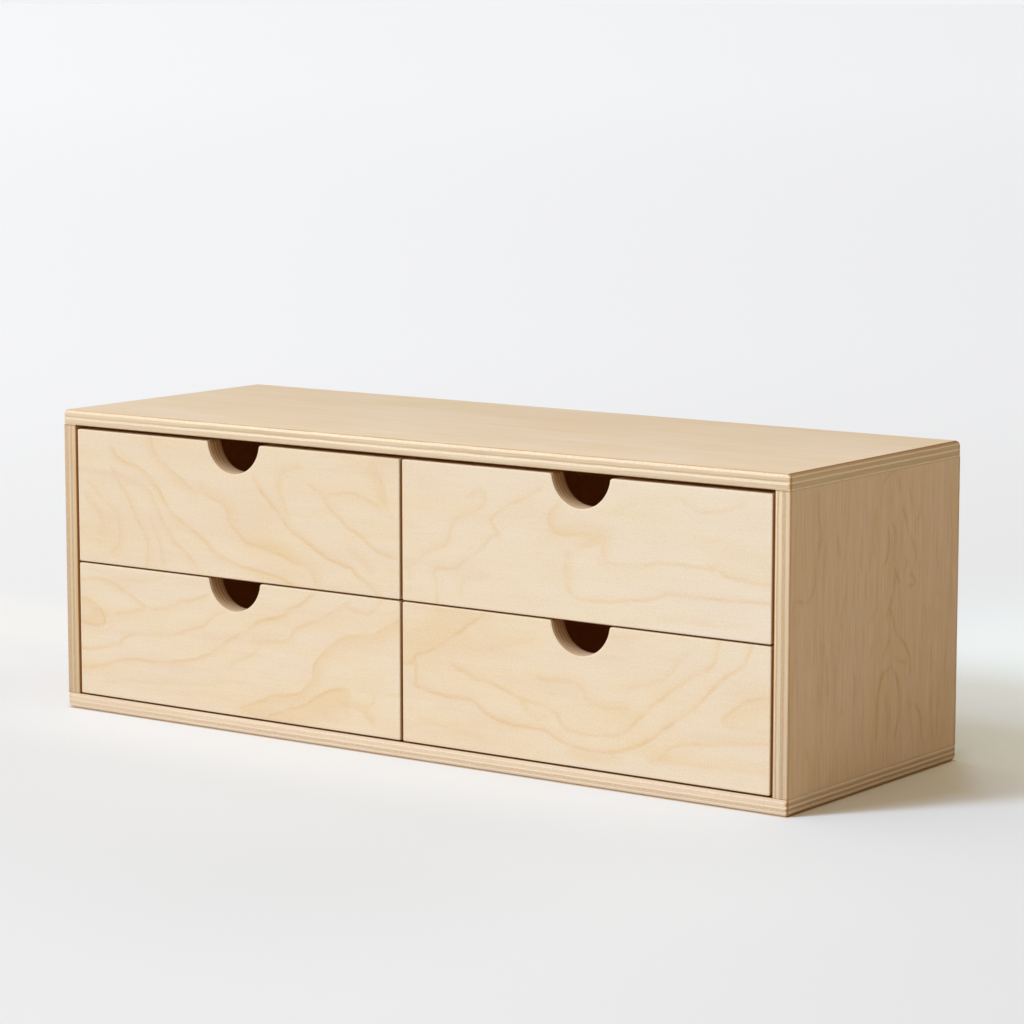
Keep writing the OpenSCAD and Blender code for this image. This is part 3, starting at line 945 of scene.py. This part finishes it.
# lines of each front's figure, in mm from its lower left corner
figures = {
    "top_left_drawer_front": [
        (1.0, 0.5, 3, [(132, 62), (138, 54), (141, 50.5), (147, 45), (152, 40.5), (156, 36),
            (161, 31.5), (167, 28.5), (174, 25), (180, 21.5), (186, 18.5), (193, 16.5), (200, 15),
            (205, 13.5), (207.5, 10.5), (212, 8), (218, 4.5), (230, -3)]),
        (0.6, 0.6, -5, [(56, 82), (60, 70), (64, 65.5), (70, 61), (76, 57.5), (82, 53.5), (88, 50),
            (96, 47)]),
        (0.7, 0.7, 6, [(88, 50), (100, 46), (108, 43.5), (113, 40.5), (114.5, 36), (115, 33),
            (119, 29), (124, 24.5), (130, 21.5), (138, 20), (146, 18.5), (155, 16.5), (163, 13.5),
            (172, 11), (176, 9), (180, -2)]),
        (0.9, 0.5, -4, [(24, 72), (31, 64.5), (36, 62), (44, 60), (50, 58), (55, 55), (59, 51),
            (63, 47.5), (67, 42), (71, 37), (75, 33), (80, 30.5), (87, 27), (94, 23), (99, 20),
            (103, 16.5), (109, 13), (115, 11), (122, 9), (135, 7), (150, 5), (168, 0)]),
        (0.6, 0.4, -4, [(-4, 55), (12, 55.5), (20, 54), (32, 53), (42, 51), (51, 49), (57, 44.5),
            (60, 39.5), (63, 35), (66, 29), (70, 25), (74, 19), (80, 14.5), (86, 10.5), (97, 2)]),
        (0.7, 0.4, 4, [(24, 60), (30, 51), (33, 47), (37, 43), (40, 38), (43, 32), (46, 27), (50, 22),
            (53, 16), (54, 11), (50, -4)]),
        (0.5, 0.3, 3, [(53, 34), (56, 29), (60, 21), (63, 14), (67, -2)]),
        (0.4, 0.3, 4, [(5, 50), (13, 43), (18, 38), (24, 35), (30, 28), (32, 19), (30, 12), (22, 5)]),
        (0.3, 0.5, 5, [(2, 42), (9, 35), (14, 31), (17, 25), (15, 15)]),
        (0.4, 0.2, 2, [(3, 12.5), (12, 12), (22, 13)]),
        (0.9, 0.4, 3, [(172, 60), (178, 56.5), (184, 53), (187, 48.5), (190, 45.5), (195, 42),
            (200, 38), (206, 35), (213, 31.5), (219, 27), (226, 24), (240, 22)]),
        (0.7, 0.4, -3, [(183, 50), (186, 54), (191, 55.5), (197, 56), (206, 57), (212, 55.5),
            (218, 53.5), (228, 49)]),
        (0.3, 0.5, 4, [(162, 34), (160, 40), (157, 47), (154, 55), (155, 62), (160, 66), (172, 68)]),
        (0.3, 0.7, -6, [(218, 78), (224, 69), (228, 62), (229, 55), (233, 48)]),
        (0.3, 0.4, 4, [(198, 26), (207, 21), (213, 17.5), (221, 10)]),
    ],
    "bottom_left_drawer_front": [
        (1.0, 0.4, -3, [(-5, 15), (4, 16.5), (18, 18.8), (31, 23.4), (46, 25), (65, 25.7), (80, 28),
            (91, 30.5), (100, 34.2), (108, 39), (117, 45), (128, 51), (138, 57), (152, 61),
            (161, 66.5), (169, 70.5), (182, 80)]),
        (0.8, 0.3, 3, [(-5, 26.5), (9, 26.8), (20, 29.5), (31, 32), (34, 35.7), (43, 39.5),
            (55, 40.3), (74, 41.8), (83, 45.7), (95, 48.8), (100, 52.6), (105, 56.5), (115, 60)]),
        (0.8, 0.3, -3, [(-5, 67), (0, 68), (10, 69.5), (20, 69.5), (28, 68), (37, 63.5), (45, 60),
            (51, 57), (58, 56), (65, 57), (72, 59.5), (80, 63), (90, 65), (103, 70)]),
        (0.6, 0.4, -3, [(24, 50), (38, 52.5), (46, 54.5), (55, 56.5)]),
        (0.9, 0.8, -7, [(-8, 58), (1, 57.5), (7, 57), (13, 54.5), (18, 50), (20, 45.5), (17, 42),
            (10, 41.5), (-6, 43)]),
        (0.5, 0.3, 3, [(112, 22), (118, 30), (125, 33), (133, 37), (141, 43)]),
        (1.0, 0.7, 8, [(246, 72), (231.5, 64), (220, 58), (210, 56), (200, 54), (191, 49.5),
            (183, 42.6), (177, 35), (176, 28), (172, 23.4), (166, 18.8), (157, 16.5), (147.7, 15.7),
            (138.5, 11), (120, 5)]),
        (1.0, 1.0, -13, [(140, 2), (158, 8), (166, 10.5), (173, 14), (180, 18.5), (187, 22),
            (195, 24), (206, 25)]),
        (0.5, 0.1, 2, [(198, 25), (215, 24.5), (245, 24)]),
        (0.5, 0.6, 5, [(192, 17), (200, 15), (206, 14.5), (213, 12), (222, 4)]),
        (0.5, 0.2, 2, [(220, 28), (219, 20), (214, 14), (213, 8)]),
        (0.7, 0.4, -3, [(128, 44), (145, 46), (155, 47.5), (160, 50), (163, 54), (170, 58),
            (180, 61.5), (188, 66), (195, 69.5), (206, 77)]),
        (0.6, 0.4, 3, [(196, 71), (207, 69), (215, 68), (221, 71), (230, 80)]),
        (0.4, 0.3, 3, [(15, 8), (40, 10.5), (60, 12), (80, 13.5), (100, 15.5), (110, 18), (130, 19)]),
        (0.3, 0.2, 3, [(35, 70), (55, 72), (70, 76)]),
        (0.3, 0.2, 3, [(40, 4), (70, 7), (105, 9), (125, 7)]),
    ],
    "top_right_drawer_front": [
        (0.5, 0.4, 4, [(-5, 19), (7, 20), (12, 24), (20, 29), (29, 32), (32, 36.5), (35, 44),
            (40, 49), (50, 53), (56, 57), (57.5, 62), (53, 66), (42, 60)]),
        (0.8, 0.3, 3, [(24, -4), (24.5, 12), (22, 17), (25, 19.5), (37, 21), (44.6, 27), (54, 32.6),
            (58, 37.5), (63, 41), (66, 42.5), (62, 47), (61.5, 50), (66, 54), (74, 58.8), (83, 63),
            (98, 72)]),
        (0.3, 0.3, 3, [(41, 2), (42, 13), (48, 16), (62, 18)]),
        (0.6, 0.6, 5, [(108, 66), (100, 58), (98, 53), (101, 47.5), (108, 45.5), (118, 46),
            (130, 46.5), (134, 44), (133, 39), (134, 32)]),
        (0.9, 0.3, -3, [(128, 35), (140, 33.5), (150, 33.5), (160, 34), (168, 36), (180, 36.5),
            (195, 36.5), (208, 35)]),
        (0.6, 0.5, 4, [(195, 37), (206, 35), (212, 32), (222, 31), (245, 30)]),
        (0.2, 0.6, 6, [(112, 42), (109, 34), (109, 26), (110, 18), (113, 10)]),
        (0.9, 0.3, 3, [(107, 19), (116, 12.5), (124, 11.5), (132, 12), (140, 12.5), (150, 14),
            (160, 15), (167, 16.5), (173, 19), (180, 20), (195, 20), (210, 20), (225, 20.5), (245, 21)]),
        (0.2, 0.6, 5, [(113, 35), (120, 39), (128, 42), (137, 43)]),
        (0.4, 0.3, 3, [(137, 59), (148, 63), (158, 67)]),
        (0.6, 0.3, 3, [(180, 71), (190, 65.5), (197, 64.5), (205, 65.5), (212, 67), (226, 72)]),
        (0.4, 0.2, 3, [(142, 2), (165, 4.5), (180, 6), (200, 6), (230, 8)]),
        (0.0, 0.6, 9, [(0, -5), (0, 30), (0, 82)]),
        (0.3, 0.4, 4, [(2, 8), (6, 14), (5, 20), (12, 24)]),
    ],
    "bottom_right_drawer_front": [
        (1.0, 0.9, 15, [(-6, 42), (7, 45), (9, 48.8), (15, 51), (21.5, 54), (29, 58.8), (37, 63.4),
            (44.6, 68.8), (50.8, 72.6), (62, 82)]),
        (1.0, 0.4, 3, [(12, 47), (9, 42), (9, 37), (8.5, 32), (14, 31), (20, 29.5), (30, 28.5),
            (42, 28.5), (49, 27.5), (54, 24), (59, 21), (66, 19), (76, 17.5), (88, 17.5), (97, 17),
            (102, 14.5), (108, 12.5), (116, 10.5), (126, 10), (136, 10), (145, 11.5), (152, 14),
            (158, 16.5), (164, 20), (170, 24), (175, 28), (180, 32), (186, 36), (192, 40), (197, 45),
            (202, 50), (207, 55), (213, 60), (220, 64), (224, 69), (229, 82)]),
        (0.8, 0.4, 3, [(30, 50), (36, 45), (42, 43.5), (50, 40), (60, 39), (70, 36), (80, 33),
            (92, 30.5), (100, 28.5), (104, 27), (106, 23), (109, 20), (118, 18.5), (130, 18.5),
            (140, 19.5), (148, 22), (153, 26), (158, 31), (163, 35), (167, 39.5), (172, 43),
            (178, 48), (184, 52), (190, 56.5), (197, 59.5), (203, 64), (206, 70), (209, 84)]),
        (0.5, 0.4, 4, [(88, 44), (105, 45), (116, 45), (121, 41), (124, 36), (135, 34), (155, 36)]),
        (0.3, 0.3, 4, [(55, 57), (70, 60), (80, 63), (95, 68)]),
        (0.4, 0.4, 4, [(78, 34), (84, 26), (92, 23), (101, 26)]),
        (0.4, 0.3, 3, [(145, 44), (160, 49), (170, 52), (178, 58), (183, 64), (193, 72)]),
        (0.8, 0.8, -7, [(206, 35), (210, 38), (214, 41), (219, 45), (226, 49), (245, 52)]),
        (0.6, 0.4, 4, [(160, 6), (173, 12), (177, 17), (185, 20), (197, 21.5), (210, 23), (222, 25),
            (245, 27)]),
        (0.3, 0.4, 5, [(160, 9), (190, 10), (210, 10.5), (245, 11)]),
        (0.4, 0.3, 4, [(-4, 5), (10, 10), (20, 12), (35, 10), (60, 6)]),
        (0.3, 0.4, 5, [(110, 5), (130, 4), (150, 5)]),
        (0.3, 0.3, 4, [(206, 34), (220, 33), (245, 32)]),
    ],
}

blank = makeFront("top_left_drawer_front")
blankLow, blankHigh = inMm(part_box("top_left_drawer_front"))
gridFace(blank, "y", blankLow[1] * mm, {
    "x": evenCuts(blankLow[0], blankHigh[0], front["grid"]),
    "z": evenCuts(blankLow[2], blankHigh[2], front["grid"]),
})
for number, (node, lines) in enumerate(figures.items()):
    low, high = inMm(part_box(node))
    piece = blank.copy()
    piece.data = blank.data.copy()
    bpy.context.collection.objects.link(piece)
    piece.location = Vector(low - blankLow) * mm
    settle(piece, node + "_birch")
    body = node[:-len("_front")]
    house(piece, [body + "_outer_side", body + "_inner_side", body + "_base"])
    drawFigure(piece, lines, "xz", (low[0], low[2]), front["tint"][node])
    markRim(piece, low, high)
    layGrain(piece, "x", "-y", 1500 * number + 60)
    finishPiece(piece, "front", body, node)
bpy.data.objects.remove(blank)
print("drawer fronts made")

# dowels, hidden in their holes

dowels = {
    "nodes": ("left_panel_dowels", "right_panel_dowels", "partition_dowels"),
    "dark": (0.62, 0.44, 0.29),
    "light": (0.72, 0.54, 0.38),
    "fleck": (0.45, 0.28, 0.17),
}
dowelPaint = bpy.data.materials.new("dowel beech")
start = startTree(dowelPaint)
x, y, z = start.node("ShaderNodeTexCoord", output="Object").parts()
flecks = start.vector(x * 1600, y * 1600, z * 140).noise(2)
clouds = start.vector(x * 300, y * 300, z * 40).noise(2)
paint = clouds.blend(rgb(*dowels["dark"]), rgb(*dowels["light"]))
paint = flecks.ease(0.55, 0.7).blend(paint, rgb(*dowels["fleck"]))
bump = start.node("ShaderNodeBump", None, {"Strength": 0.3, "Distance": 0.0001, "Height": flecks})
endTree(start.node("ShaderNodeBsdfPrincipled", None,
                   {"Base Color": paint, "Roughness": 0.55 + flecks * 0.1, "Normal": bump}))
for node in dowels["nodes"]:
    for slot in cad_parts[node].material_slots:
        slot.material = dowelPaint
print("dowels painted")
